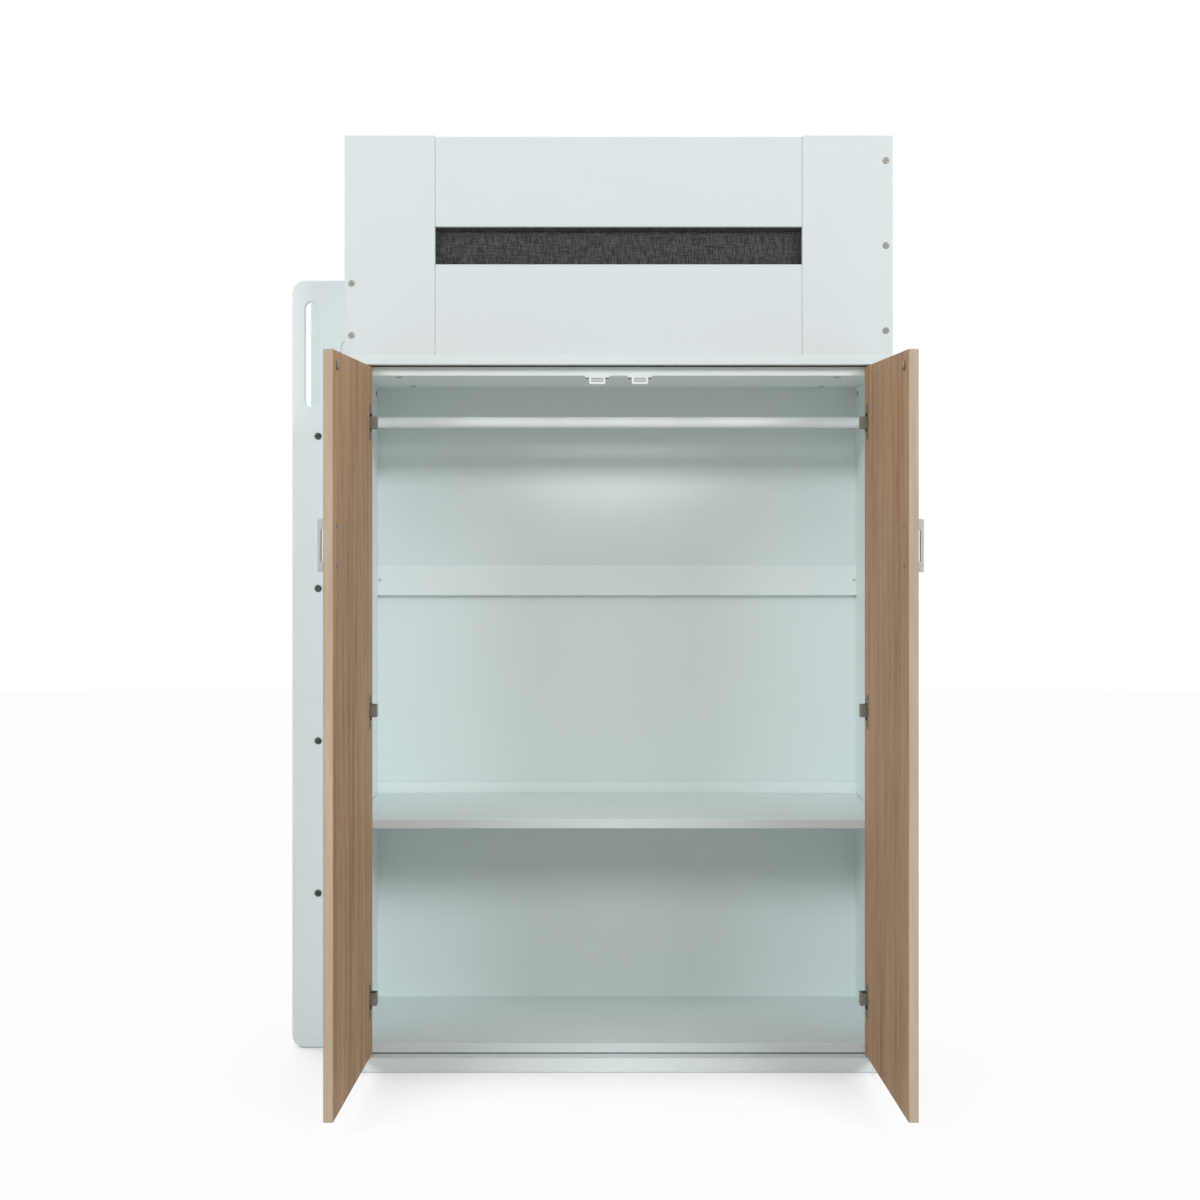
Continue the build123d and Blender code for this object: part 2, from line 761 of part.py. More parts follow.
def bracket(face, way):
    """A steel angle between a ladder side and the bed's rail."""
    half = bracket_height / 2
    z = (bracket_level() - half, bracket_level() + half)
    on_side = block((-outer - bracket_leg, -outer), sorted((face, face + way * bracket_thickness)), z)
    on_rail = block((-outer - bracket_thickness, -outer), sorted((face, face + way * bracket_leg)), z)
    return drilled(on_side + on_rail, [screw_hole(small_screw, *p) for p in bracket_screw_places()])


def ladder_side(near_face):
    """A ladder side with a wide head, rounded corners and a slot to hold on to."""
    notch = ladder_height - ladder_head
    corners = {
        (ladder_outer, 0): ladder_corner_radius,
        (ladder_inner, 0): ladder_corner_radius,
        (ladder_inner, notch): ladder_notch_radius,
        (-outer, notch): 0,
        (-outer, ladder_height): 0,
        (ladder_outer, ladder_height): ladder_corner_radius,
    }
    outline = make_face(FilletPolyline(*corners.keys(), radius=list(corners.values()), close=True))
    slot_center = ladder_height - hand_slot_drop - hand_slot_length / 2
    slot_shape = SlotOverall(hand_slot_length, hand_slot_width, 90)
    slot = Pos(ladder_outer + hand_slot_inset, slot_center) * slot_shape
    plane = Plane(origin=(0, near_face, 0), x_dir=RIGHT, z_dir=NEAR)
    side = extrude(plane * (outline - slot), ladder_board, dir=AWAY)
    faces = side.faces().filter_by(Axis.Y)
    side = chamfer([e for face in faces for e in face.edges()], ladder_edge_break)
    holes = [screw_hole(ladder_bolt, *p) for p in step_bolt_places()]
    holes += [screw_hole(small_screw, *p) for p in bracket_screw_places()]
    return cut_for(side, holes)


def make_ladder():
    keep("ladder_side_near", ladder_side(ladder_near))
    keep("ladder_side_far", ladder_side(ladder_far - ladder_board))
    step_x = (ladder_outer + step_inset, ladder_outer + step_inset + step_depth)
    step_y = (ladder_near + ladder_board, ladder_far - ladder_board)
    holes = [screw_hole(ladder_bolt, *p) for p in step_bolt_places()]
    for number, z in enumerate(step_levels, 1):
        step = board(step_x, step_y, (z - step_thickness / 2, z + step_thickness / 2))
        keep(f"ladder_step_{number}", cut_for(step, holes))
    keep("ladder_bolts", *[screw(ladder_bolt, *p) for p in step_bolt_places()])
    keep("ladder_brackets", *[bracket(*f) for f in bracket_faces()])


# Fasteners shared by many pieces
def make_fasteners():
    keep("frame_screws", *[screw(frame_screw, *p) for p in frame_screw_places])
    keep("frame_dowels", *[dowel(*p) for p in dowel_places])
    left_places = side_screw_places() + catch_screw_places()
    left = [screw(small_screw, *p) for p in left_places]
    brackets = [screw(small_screw, *p) for p in bracket_screw_places()]
    keep("small_screws", *left, *[mirrored(s) for s in left], *brackets)


make_wardrobe()
make_doors()
make_head_board()
make_foot_board()
make_side_boards()
make_slatted_base()
make_mattress()
make_ladder()
make_fasteners()

os.makedirs("parts", exist_ok=True)
for name, shape in nodes.items():
    export_step(shape, f"parts/{name}.step")
print(len(nodes), "nodes")
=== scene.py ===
# %% [markdown]
# # A white loft bed that stands on a wardrobe
# The boards, hinges and screws of this bed come from a CAD model at their real size. This lesson gives every
# one of them its finish, makes the mattress from cloth, and photographs the bed from its wardrobe end.
# The model is loaded first, because each later step asks it where things are. Its box is kept, and sets the
# floor's level.

# %% Load the bed
import json
import math

import bmesh
import bpy
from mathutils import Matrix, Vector
from mathutils.bvhtree import BVHTree


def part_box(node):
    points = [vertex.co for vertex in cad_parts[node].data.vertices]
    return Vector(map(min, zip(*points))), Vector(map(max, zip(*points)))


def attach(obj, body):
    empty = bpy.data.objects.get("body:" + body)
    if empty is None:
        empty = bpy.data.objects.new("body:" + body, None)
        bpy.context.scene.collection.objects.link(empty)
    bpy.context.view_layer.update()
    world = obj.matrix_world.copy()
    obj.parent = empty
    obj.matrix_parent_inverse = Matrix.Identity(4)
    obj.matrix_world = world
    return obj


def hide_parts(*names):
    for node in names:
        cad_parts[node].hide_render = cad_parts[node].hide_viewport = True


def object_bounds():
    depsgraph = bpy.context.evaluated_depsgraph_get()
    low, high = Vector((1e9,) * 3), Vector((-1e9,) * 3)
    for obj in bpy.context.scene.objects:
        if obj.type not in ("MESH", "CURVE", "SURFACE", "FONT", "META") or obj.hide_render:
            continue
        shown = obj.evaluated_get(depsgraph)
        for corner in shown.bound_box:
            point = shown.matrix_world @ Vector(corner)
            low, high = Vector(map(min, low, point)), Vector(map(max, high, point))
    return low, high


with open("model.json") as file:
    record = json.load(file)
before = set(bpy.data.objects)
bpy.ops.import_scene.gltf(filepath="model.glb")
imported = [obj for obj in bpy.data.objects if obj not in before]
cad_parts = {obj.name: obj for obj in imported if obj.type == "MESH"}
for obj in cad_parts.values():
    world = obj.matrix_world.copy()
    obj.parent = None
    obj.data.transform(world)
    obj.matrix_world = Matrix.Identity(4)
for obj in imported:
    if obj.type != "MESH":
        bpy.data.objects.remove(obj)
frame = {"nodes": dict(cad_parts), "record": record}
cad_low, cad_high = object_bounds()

print("CAD box:", [round(v, 4) for v in cad_low], [round(v, 4) for v in cad_high])

# %% [markdown]
# ## Sums on sockets
# A finish is worked out for each point of a surface: a little more of one colour here, a small dent there.
# Blender does these sums with nodes, which are slow to read when they are linked one by one. The class below
# wraps the output of a node, so that a plain expression such as `1 - mask * 0.2` adds the Math nodes itself.
# Colours and vectors have nodes of their own, because a Math node turns a colour grey.

# %% A socket that can be added and multiplied
def number_operator(operation, reflected=False):
    def apply(self, other):
        pair = (other, self) if reflected else (self, other)
        return self.node("ShaderNodeMath", {"operation": operation}, {0: pair[0], 1: pair[1]})
    return apply


class Wire:
    """The output of a node in one material."""

    def __init__(self, tree, socket):
        self.tree, self.socket = tree, socket

    __add__ = number_operator("ADD")
    __radd__ = number_operator("ADD", reflected=True)
    __sub__ = number_operator("SUBTRACT")
    __rsub__ = number_operator("SUBTRACT", reflected=True)
    __mul__ = number_operator("MULTIPLY")
    __rmul__ = number_operator("MULTIPLY", reflected=True)
    __truediv__ = number_operator("DIVIDE")
    __rtruediv__ = number_operator("DIVIDE", reflected=True)
    __gt__ = number_operator("GREATER_THAN")
    __mod__ = number_operator("FLOORED_MODULO")

    def node(self, kind, settings, sockets, output=0):
        """Add any node: its settings first, then the values or links of its sockets."""
        made = self.tree.nodes.new(kind)
        for name, value in settings.items():
            if name == "stops":
                for stop, (place, colour) in zip(ramp_stops(made, len(value)), value):
                    stop.position, stop.color = place, (*colour, 1)
            else:
                setattr(made, name, value)
        for name, value in sockets.items():
            if isinstance(value, Wire):
                self.tree.links.new(value.socket, made.inputs[name])
            else:
                made.inputs[name].default_value = value
        return Wire(self.tree, made.outputs[output] if made.outputs else None)

    def maths(self, operation, other=0.0):
        """A Math node that has no operator in Python."""
        return self.node("ShaderNodeMath", {"operation": operation}, {0: self, 1: other})

    def part(self, axis):
        """One of the three numbers of a vector."""
        return self.node("ShaderNodeSeparateXYZ", {}, {0: self}, axis)

    def stretched(self, scale):
        """A place, multiplied along each axis."""
        return self.node("ShaderNodeVectorMath", {"operation": "MULTIPLY"}, {0: self, 1: scale})

    def noise(self, scale, detail=2.0, roughness=0.5):
        sockets = {"Vector": self, "Scale": scale, "Detail": detail, "Roughness": roughness}
        return self.node("ShaderNodeTexNoise", {}, sockets)

    def between(self, low, high):
        """0 below low, 1 above high, and smooth from one to the other."""
        settings = {"interpolation_type": "SMOOTHSTEP"}
        return self.node("ShaderNodeMapRange", settings, {"Value": self, "From Min": low, "From Max": high})

    def mix(self, first, second):
        """The first colour where this is 0, the second where it is 1."""
        return self.node("ShaderNodeMix", {"data_type": "RGBA"}, {0: self, 6: first, 7: second}, 2)


def ramp_stops(made, count):
    """The stops of a colour ramp, which starts with two."""
    while len(made.color_ramp.elements) < count:
        made.color_ramp.elements.new(0.5)
    return made.color_ramp.elements


print("Wire can do:", [n for n in vars(Wire) if not n.startswith("__")])

# %% [markdown]
# ## What every finish shares
# A finish starts from what Blender knows about a point: its place on the object, in metres, and the way its
# surface faces. Both move with the piece, so a door keeps its grain when it swings. It ends in one
# Principled shader. What changes over the surface reaches that shader's colour, roughness and bump, and what
# is the same everywhere is set on it directly.

# %% Start and end of a finish
X, Y, Z = 0, 1, 2
finishes = {}


def linear(red, green, blue):
    """A colour as it is seen on a screen, from 0 to 255, as the light that it stands for."""
    def one(value):
        share = value / 255
        return share / 12.92 if share <= 0.04045 else ((share + 0.055) / 1.055) ** 2.4
    return (one(red), one(green), one(blue), 1)


def shade(colour, share):
    """The same colour with a share of its light."""
    return [value * share for value in colour[:3]] + [1]


def start_finish(name):
    """A new material, and the place of a point in it."""
    material = bpy.data.materials.new(name)
    material.use_nodes = True
    material.node_tree.nodes.clear()
    finishes[name] = material
    return Wire(material.node_tree, None).node("ShaderNodeTexCoord", {}, {}, "Object")


def faces_along(here, axis):
    """1 where the surface faces along an axis, either way, and 0 where it lies along it."""
    return here.node("ShaderNodeTexCoord", {}, {}, "Normal").part(axis).maths("ABSOLUTE")


def end_finish(colour, roughness, height=None, depth=0.0, **constant):
    """Close a material. The height runs from 0 to 1 and depth is what 1 is in metres."""
    sockets = {"Base Color": colour, "Roughness": roughness}
    sockets.update({name.replace("_", " "): value for name, value in constant.items()})
    if height is not None:
        bump = {"Height": height, "Distance": depth, "Strength": 1.0}
        sockets["Normal"] = colour.node("ShaderNodeBump", {}, bump)
    shader = colour.node("ShaderNodeBsdfPrincipled", {}, sockets)
    shader.node("ShaderNodeOutputMaterial", {}, {"Surface": shader})


print("White at 223, 229, 230 on a screen is", [round(v, 3) for v in linear(223, 229, 230)])

# %% [markdown]
# ## White melamine board
# Most of the bed is chipboard with a white melamine skin. The skin is pressed with a fine pearl, which keeps
# its shine soft, and its cut edges carry a band that is a little smoother and a shade darker. One thin axis per
# board tells faces from edges: where the surface faces along that axis it is a face. One material for each
# axis is simpler than one that has to guess. Boards that are thin along Y get a darker copy of the white, which
# is painted shade, and the chamfers are darkened, which is painted shade in the joints between boards. The
# ladder's sides are painted, and a little whiter, which is partly their paint and partly painted light. The rails
# in the wardrobe's back get a whiter copy of the board, which is painted light. The shelf, the wardrobe's floor
# and its top cover have a darker edge band, which is painted shade.

# %% White boards
def white_board(name, thin, board_white, band=0.96):
    """Board_white is the face's colour. The band on the edges has a share of its light, just under 1 for the real
    edge band and lower where the edges get painted shade.
    """
    here = start_finish(name)
    on_edge = (1 - faces_along(here, thin)).between(0.2, 0.9)
    on_corner = (on_edge * (1 - on_edge) * 4).between(0.1, 0.9)
    cloud = here.noise(2.4, 3.0, 0.6)
    pearl = here.noise(1400.0, 2.0, 0.6)
    grain = here.noise(260.0, 3.0, 0.7)
    face = cloud.between(0.25, 0.75).mix(shade(board_white, 0.985), board_white)
    colour = (grain.between(0.35, 0.65) * 0.35).mix(face, shade(board_white, 0.975))
    colour = on_edge.mix(colour, shade(board_white, band))
    # painted shade: the chamfers are mixed towards a darker white, which draws the joints between boards darker
    colour = (on_corner * 0.35).mix(colour, chamfer_shade_white)
    roughness = 0.40 + cloud * 0.08 + pearl * 0.06 - on_edge * 0.08
    end_finish(colour, roughness, pearl * 0.6 + grain * 0.4, 0.00006, IOR=1.48)


inside_white, end_white_shaded, chamfer_shade_white = linear(238, 247, 246), linear(223, 229, 229), linear(216, 221, 220)
rail_white_lit, ladder_white = linear(243, 252, 251), linear(240, 248, 249)
white_board("white_board_upright", X, inside_white)
# the white of boards thin along Y is made darker than the other boards: painted shade
white_board("white_board_end", Y, end_white_shaded)
white_board("white_board_level", Z, inside_white)
# the back rails' white is made lighter than the other boards: painted light
white_board("white_rail", Y, rail_white_lit)
# the darker bands of the shelf, the wardrobe's floor and the cover are painted shade
white_board("white_shelf", Z, inside_white, 0.78)
white_board("white_cover", Z, inside_white, 0.89)
# the ladder's white is partly its own paint and partly painted light
white_board("white_ladder", Y, ladder_white)
print("finishes:", list(finishes))

# %% [markdown]
# ## White hardboard backs
# The wardrobe's back is a pair of thin hardboard sheets, lacquered white on the inside. The lacquer is thin and
# duller than melamine, and lies over fibres, so it has a faint long ripple. A slow noise gives the ripple and a
# fine one the fibres. A low specular level keeps the lamps from showing in the back. Outside, the sheet is bare.

# %% Hardboard
here = start_finish("white_hardboard")
ripple = here.noise(9.0, 2.0)
fibre = here.stretched((900.0, 900.0, 240.0)).noise(1.0, 3.0, 0.65)
outside = here.node("ShaderNodeTexCoord", {}, {}, "Normal").part(Y).between(0.5, 0.9)
lacquer = (fibre * 0.3).mix(linear(238, 248, 247), linear(230, 241, 240))
bare = fibre.between(0.3, 0.7).mix(linear(172, 136, 100), linear(150, 115, 82))
dullness = 0.55 + ripple * 0.1 + outside * 0.2
end_finish(outside.mix(lacquer, bare), dullness, fibre * 0.2 + ripple, 0.0004, Specular_IOR_Level=0.15)
print("hardboard: lacquered inside, bare brown outside")

# %% [markdown]
# ## Oak decor
# The doors are chipboard under a printed oak decor, with the grain running up. Oak grain has three sizes: slow
# light and dark bands a few centimetres wide, streaks a few millimetres wide, and short dark pores. Each is the
# same noise, pulled long in the grain's direction, which is simpler to steer than a wood texture's rings. The
# same recipe with other colours gives the slats and dowels, so it is a function.

# %% A wood grain
def wood(name, along, across, light, middle, dark, gloss, thin=None, band=None):
    """A finish with grain along one axis. Thin is the axis of the faces, if the edges carry a band."""
    here = start_finish(name)

    def pulled(across_scale, along_scale):
        return tuple(along_scale if axis == along else across_scale for axis in (X, Y, Z))

    drift = here.stretched(pulled(3.0, 0.9)).noise(1.0, 3.0)
    place = here.part(across) + drift * 0.16
    arches = (place * 130.0).maths("SINE") * 0.5 + 0.5
    bands = here.stretched(pulled(7.0, 0.9)).noise(1.0, 6.0, 0.72)
    streaks = here.stretched(pulled(60.0, 3.6)).noise(1.0, 6.0, 0.74)
    pores = here.stretched(pulled(420.0, 16.0)).noise(1.0, 2.0, 0.6).between(0.58, 0.72)
    tone = bands * 0.8 + streaks * 0.6 + arches * 0.06 - 0.24
    stops = [(0.26, dark[:3]), (0.47, middle[:3]), (0.68, light[:3])]
    colour = tone.node("ShaderNodeValToRGB", {"stops": stops}, {0: tone})
    colour = (pores * 0.45).mix(colour, shade(dark, 0.45))
    roughness = gloss + streaks * 0.12 + pores * 0.15
    if thin is not None:
        on_edge = (1 - faces_along(here, thin)).between(0.3, 0.9)
        striped_band = streaks.between(0.3, 0.7).mix(shade(band, 0.84), band)
        colour = (on_edge * 0.85).mix(colour, striped_band)
    end_finish(colour, roughness, 1 - pores * 0.8 + streaks * 0.4, 0.00012, IOR=1.48, Specular_IOR_Level=0.12)


oak_light, oak_middle, oak_dark = linear(206, 171, 136), linear(188, 151, 117), linear(148, 111, 81)
wood("oak_decor", Z, Y, oak_light, oak_middle, oak_dark, 0.55, X, linear(206, 186, 163))
pine = (linear(233, 204, 156), linear(219, 184, 131), linear(190, 145, 92))
wood("pine_slats", X, Y, *pine, 0.5)
wood("pine_ledges", Y, Z, *pine, 0.5)
wood("beech", X, Z, linear(214, 170, 128), linear(198, 150, 106), linear(176, 128, 88), 0.5)
print("woods:", [n for n in finishes if n.startswith(("oak", "pine", "beech"))])

# %% [markdown]
# ## Metal and plastic
# The fittings are small, and each has its own metal: dull nickel for the hinges, paler satin steel for the
# handles, grey zinc on the screws, dark zinc on the ladder's bolts. A metal is bright or dull by the marks left in
# it, so each one gets fine scratches in its roughness and bump, and painted shade, a near-black colour, where a
# recess keeps the light out. The hanging rail is steel under a white powder coat, and the catches are moulded
# plastic.

# %% Metals
recess_reach = 0.004


def metal(name, bright, dull, gloss, scratch, recess_shade=0.7):
    """A metal with scratches. The last argument is how much painted shade, a near-black colour, lies in the
    recesses.
    """
    here = start_finish(name)
    marks = here.stretched((500.0, 500.0, 4200.0)).noise(1.0, 3.0, 0.7)
    stains = here.noise(160.0, 4.0, 0.6)
    recess = 1 - here.node("ShaderNodeAmbientOcclusion", {"samples": 8}, {"Distance": recess_reach}, "AO")
    colour = stains.between(0.3, 0.7).mix(bright, dull)
    # painted shade: a near-black colour where ambient occlusion finds a recess
    colour = (recess.between(0.25, 0.8) * recess_shade).mix(colour, linear(38, 36, 33))
    end_finish(colour, gloss + marks * scratch + stains * 0.08, marks, 0.00002, Metallic=1.0)


metal("nickel", linear(150, 141, 130), linear(136, 127, 116), 0.30, 0.16)
metal("satin_steel", linear(174, 175, 174), linear(162, 163, 162), 0.32, 0.14)
metal("zinc", linear(152, 151, 145), linear(130, 129, 124), 0.32, 0.14, 0.9)
metal("dark_zinc", linear(92, 92, 88), linear(66, 66, 63), 0.36, 0.16)
print("recesses are found within", recess_reach, "m")


# %% Powder coat and plastic
def moulded(name, light, dark, gloss, pit):
    """A smooth coat with fine pits."""
    here = start_finish(name)
    pits = here.noise(pit, 3.0, 0.6)
    cloud = here.noise(14.0, 2.0)
    end_finish(cloud.between(0.3, 0.7).mix(light, dark), gloss + pits * 0.12, pits, 0.00005, IOR=1.5)


moulded("white_metal", linear(248, 252, 253), linear(244, 249, 250), 0.20, 1500.0)
moulded("white_plastic", linear(236, 240, 241), linear(229, 234, 234), 0.34, 2600.0)
print("finishes so far:", len(finishes))

# %% [markdown]
# Two fittings need a finish that knows where they are. The catch's magnet is a grey bar between two thin steel
# plates, so its colour changes with its height. The cams under the top are bare dark zinc, and those in the back
# rails wear a pale cap.

# %% Magnets and cams
magnet_low, magnet_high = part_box("catch_magnets")
magnet_middle, magnet_height = (magnet_low.z + magnet_high.z) / 2, magnet_high.z - magnet_low.z
here = start_finish("magnet")
from_middle = (here.part(Z) - magnet_middle).maths("ABSOLUTE") / magnet_height
speck = here.noise(700.0, 3.0, 0.6)
bar = speck.between(0.3, 0.7).mix(linear(208, 214, 214), linear(196, 203, 203))
end_finish(from_middle.between(0.26, 0.34).mix(bar, linear(96, 100, 100)), 0.4 + speck * 0.1, speck, 0.00003)

capped_below = 1.19
here = start_finish("cam")
capped = 1 - here.part(Z).between(capped_below, capped_below + 0.01)
speck = here.noise(500.0, 3.0, 0.6)
bare = speck.between(0.3, 0.7).mix(linear(96, 94, 90), linear(70, 69, 66))
end_finish(capped.mix(bare, linear(203, 212, 212)), 0.4 + speck * 0.1, speck, 0.00003)
print("magnets from", round(magnet_low.z, 4), "to", round(magnet_high.z, 4), "m, caps below", capped_below, "m")

# %% [markdown]
# ## Charcoal cover cloth
# Through the slot in the end board shows the mattress's cover, a coarse charcoal cloth whose threads vary from
# nearly black to mid grey. It is a plain weave: at each crossing one thread lies over the other, and the next
# crossing does the opposite. The weave is drawn on whichever two axes lie in the surface, so it needs no
# unwrapping. Each thread gets a tone of its own, and longer pale and dark lengths run both ways through the
# cloth. The tape on its edges is the same weave, but finer.

# %% Woven cover
mostly = 0.62


def charcoal_cloth(name, pitch):
    """Pitch is the distance from thread to thread, in metres."""
    here = start_finish(name)
    x, y, z = (here.part(axis) for axis in (X, Y, Z))
    side = faces_along(here, X) > mostly
    top = faces_along(here, Z) > mostly
    across = (x * (1 - side) + y * side) / pitch
    along = (z * (1 - top) + y * top) / pitch
    odd = (across.maths("FLOOR") + along.maths("FLOOR")) % 2.0

    def tones(first, second):
        return here.node("ShaderNodeCombineXYZ", {}, {0: first, 1: second}).noise(1.0, 3.0, 0.7)

    def thread(crossing, running):
        """How round a thread is across its width, and its tone along its length."""
        profile = (crossing * math.pi).maths("SINE").maths("ABSOLUTE")
        return profile, tones(crossing.maths("FLOOR") * 7.31, running * 0.045)

    warp, warp_tone = thread(across, along)
    weft, weft_tone = thread(along, across)
    height = warp * odd + weft * (1 - odd)
    upright = tones(across * 0.6, along * 0.07)
    level = tones(across * 0.05, along * 0.6)
    tone = (warp_tone * odd + weft_tone * (1 - odd)) * 0.35 + upright * 0.4 + level * 0.25
    pale = tone.between(0.43, 0.58)
    colour = pale.mix(linear(23, 23, 24), linear(99, 99, 100))
    # painted shade: the low places between the threads are darkened towards black
    colour = ((1 - height).between(0.45, 1.0) * 0.7).mix(colour, linear(20, 20, 21))
    end_finish(colour, 0.85 + height * 0.1, height, 0.0005, Sheen_Weight=0.25, Sheen_Roughness=0.5)


cover_pitch, tape_pitch = 0.0013, 0.0007
charcoal_cloth("charcoal_fabric", cover_pitch)
charcoal_cloth("charcoal_tape", tape_pitch)
print("threads are", cover_pitch, "m apart in the cover and", tape_pitch, "m in the tape")

# %% [markdown]
# ## Dress the boards and fittings
# The record that comes with the model names a material slot for each piece, so the finishes are handed out by
# slot, and a few pieces get one of their own. White boards also need their thin axis, which is the shortest side
# of the piece's own box.

# %% Hand out the finishes
def thin_axis(name):
    """The axis along which a piece is thinnest."""
    near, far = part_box(name)
    sides = list(far - near)
    return sides.index(min(sides))


by_thin = {X: "white_board_upright", Y: "white_board_end", Z: "white_board_level"}
by_name = {
    "ladder_side_near": "white_ladder", "ladder_side_far": "white_ladder",
    "back_rail_upper": "white_rail", "back_rail_lower": "white_rail",
    "wardrobe_shelf": "white_shelf", "wardrobe_floor": "white_shelf", "wardrobe_cover": "white_cover",
    "handle_left": "satin_steel", "handle_right": "satin_steel",
    "catch_magnets": "magnet", "cam_fasteners": "cam",
    "slats": "pine_slats", "slat_ledges": "pine_ledges",
}
for row in frame["record"]["subparts"]:
    name, slot = row["node"], row["material_slot"]
    finish = by_name.get(name, slot)
    if finish == "white_board":
        finish = by_thin[thin_axis(name)]
    mesh = frame["nodes"][name].data
    mesh.materials.clear()
    mesh.materials.append(finishes[finish])
print("dressed:", len(frame["nodes"]), "pieces")

# %% [markdown]
# ## The mattress
# The mattress is foam in a sewn cover: flat where it lies on the slats, crowned on top, and its walls bulge a
# little between the taped edges. A block with round edges looks hard, so the cover is blown up as cloth: the
# solid is shrunk by a few millimetres, covered with an even mesh, and inflated for twenty steps. Each point may
# then move only so far, because the frame's boards are close. At last the cover is stretched back to its full
# size, and a little beyond it at the walls, where foam fills the room that its frame leaves.

# %% Cut the cover
def apply_modifier(piece, modifier):
    """Turn what a modifier does into the piece's own mesh."""
    with bpy.context.temp_override(object=piece, active_object=piece):
        bpy.ops.object.modifier_apply(modifier=modifier.name)


low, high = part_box("mattress")
middle, half = (low + high) / 2, (high - low) / 2
shrink = Vector((0.004, 0.003, 0.006))
cover = bpy.data.objects.new("mattress_cover", frame["nodes"]["mattress"].data.copy())
bpy.context.scene.collection.objects.link(cover)
bpy.context.view_layer.objects.active = cover
for vertex in cover.data.vertices:
    for axis in (X, Y, Z):
        share = (half[axis] - shrink[axis]) / half[axis]
        vertex.co[axis] = middle[axis] + (vertex.co[axis] - middle[axis]) * share
remesh = cover.modifiers.new("remesh", "REMESH")
remesh.mode = "VOXEL"
remesh.voxel_size = 0.016
apply_modifier(cover, remesh)
rest = [vertex.co.copy() for vertex in cover.data.vertices]
print("cover mesh:", len(rest), "points")

# %% Inflate it, then hold each point near its place
inflate_steps = 20
most = 0.008
cloth = cover.modifiers.new("cloth", "CLOTH")
cloth.settings.use_pressure = True
cloth.settings.uniform_pressure_force = 4.0
cloth.settings.effector_weights.gravity = 0.0
for step in range(1, inflate_steps + 1):
    bpy.context.scene.frame_set(step)
apply_modifier(cover, cloth)
bpy.context.scene.frame_set(1)
largest = 0.0
for vertex, start in zip(cover.data.vertices, rest):
    move = vertex.co - start
    largest = max(largest, move.length)
    if move.length > most:
        move *= most / move.length
    vertex.co = start + move
print("the cloth wanted to move", round(largest * 1000, 1), "mm, and may move", most * 1000, "mm")

# %% Stretch it to the room in the frame
full_low = low + Vector((-0.006, 0.002, 0.0))
full_high = high + Vector((0.006, 0.0035, 0.0))
for axis in (X, Y, Z):
    found = [vertex.co[axis] for vertex in cover.data.vertices]
    start, span = min(found), max(found) - min(found)
    wanted = full_high[axis] - full_low[axis]
    for vertex in cover.data.vertices:
        vertex.co[axis] = full_low[axis] + (vertex.co[axis] - start) * wanted / span
    print("axis", axis, "from", round(span, 4), "to", round(wanted, 4), "m")

# %% [markdown]
# The tape that is sewn round a mattress holds its edges sharp, while a blown-up cover goes round there. So the
# points near the top edge are pulled out towards it: the nearer a point is to the top and to a wall, the more of
# its way it goes.

# %% Pull the top edge tight
edge_zone = 0.045
kept_round = 0.35


def tight(value):
    """The distance to a face after the pull. It leaves what is further than the edge's zone."""
    return value * (kept_round + (1 - kept_round) * min(1.0, value / edge_zone))


for vertex in cover.data.vertices:
    drop = full_high.z - vertex.co.z
    if drop < edge_zone:
        for axis in (X, Y):
            near = full_low[axis] if vertex.co[axis] < middle[axis] else full_high[axis]
            inset = abs(vertex.co[axis] - near)
            pull = (inset - tight(inset)) * (1 - drop / edge_zone)
            vertex.co[axis] += math.copysign(pull, near - vertex.co[axis])
        vertex.co.z = full_high.z - tight(drop)
print("top edge pulled tight over", edge_zone, "m")

# %% [markdown]
# A sewn cover is quilted on top: lines of stitching pull the cloth down into the foam. The lines are pressed into
# the mesh after the inflating, because an even mesh would lose a seam made before it. They fade out towards the
# edge tapes, where the cover's walls begin.

# %% Quilt the top
quilt_pitch = 0.150
quilt_depth = 0.006
quilt_width = 0.022
quilt_fade = 0.050
top_layer = 0.030


def from_line(value, pitch):
    """Distance to the nearest of a row of lines."""
    return abs((value + pitch / 2) % pitch - pitch / 2)


finer = cover.modifiers.new("finer", "SUBSURF")
finer.levels = finer.render_levels = 1
apply_modifier(cover, finer)
for vertex in cover.data.vertices:
    place = vertex.co - middle
    edge = min(half.x - abs(place.x), half.y - abs(place.y))
    if vertex.co.z > high.z - top_layer and edge > 0:
        diagonals = (place.x + place.y) / math.sqrt(2), (place.x - place.y) / math.sqrt(2)
        nearest = min(from_line(diagonal, quilt_pitch) for diagonal in diagonals)
        press = quilt_depth * math.exp(-((nearest / quilt_width) ** 2))
        vertex.co.z -= press * min(1.0, edge / quilt_fade)
for polygon in cover.data.polygons:
    polygon.use_smooth = True
cover.data.materials.clear()
cover.data.materials.append(finishes["charcoal_fabric"])
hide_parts("mattress")
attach(cover, "bed")
print("cover:", len(cover.data.vertices), "points")

# %% [markdown]
# Where the top and bottom of the cover meet its wall, a folded tape is sewn round the seam. Its path starts as the
# outline of the mattress with round corners, and each point of it then moves to the nearest place on the cover, so
# that the tape lies on the cloth. It is a closed curve with a round section, turned to a mesh so that it takes the
# same cloth.

# %% Find the tapes' path
cover_faces = [polygon.vertices for polygon in cover.data.polygons]
cover_surface = BVHTree.FromPolygons([vertex.co for vertex in cover.data.vertices], cover_faces)
tape_radius = 0.0045
tape_lift = 0.4 * tape_radius
corner_radius = 0.042
corner_steps = 8
stitch = 0.020


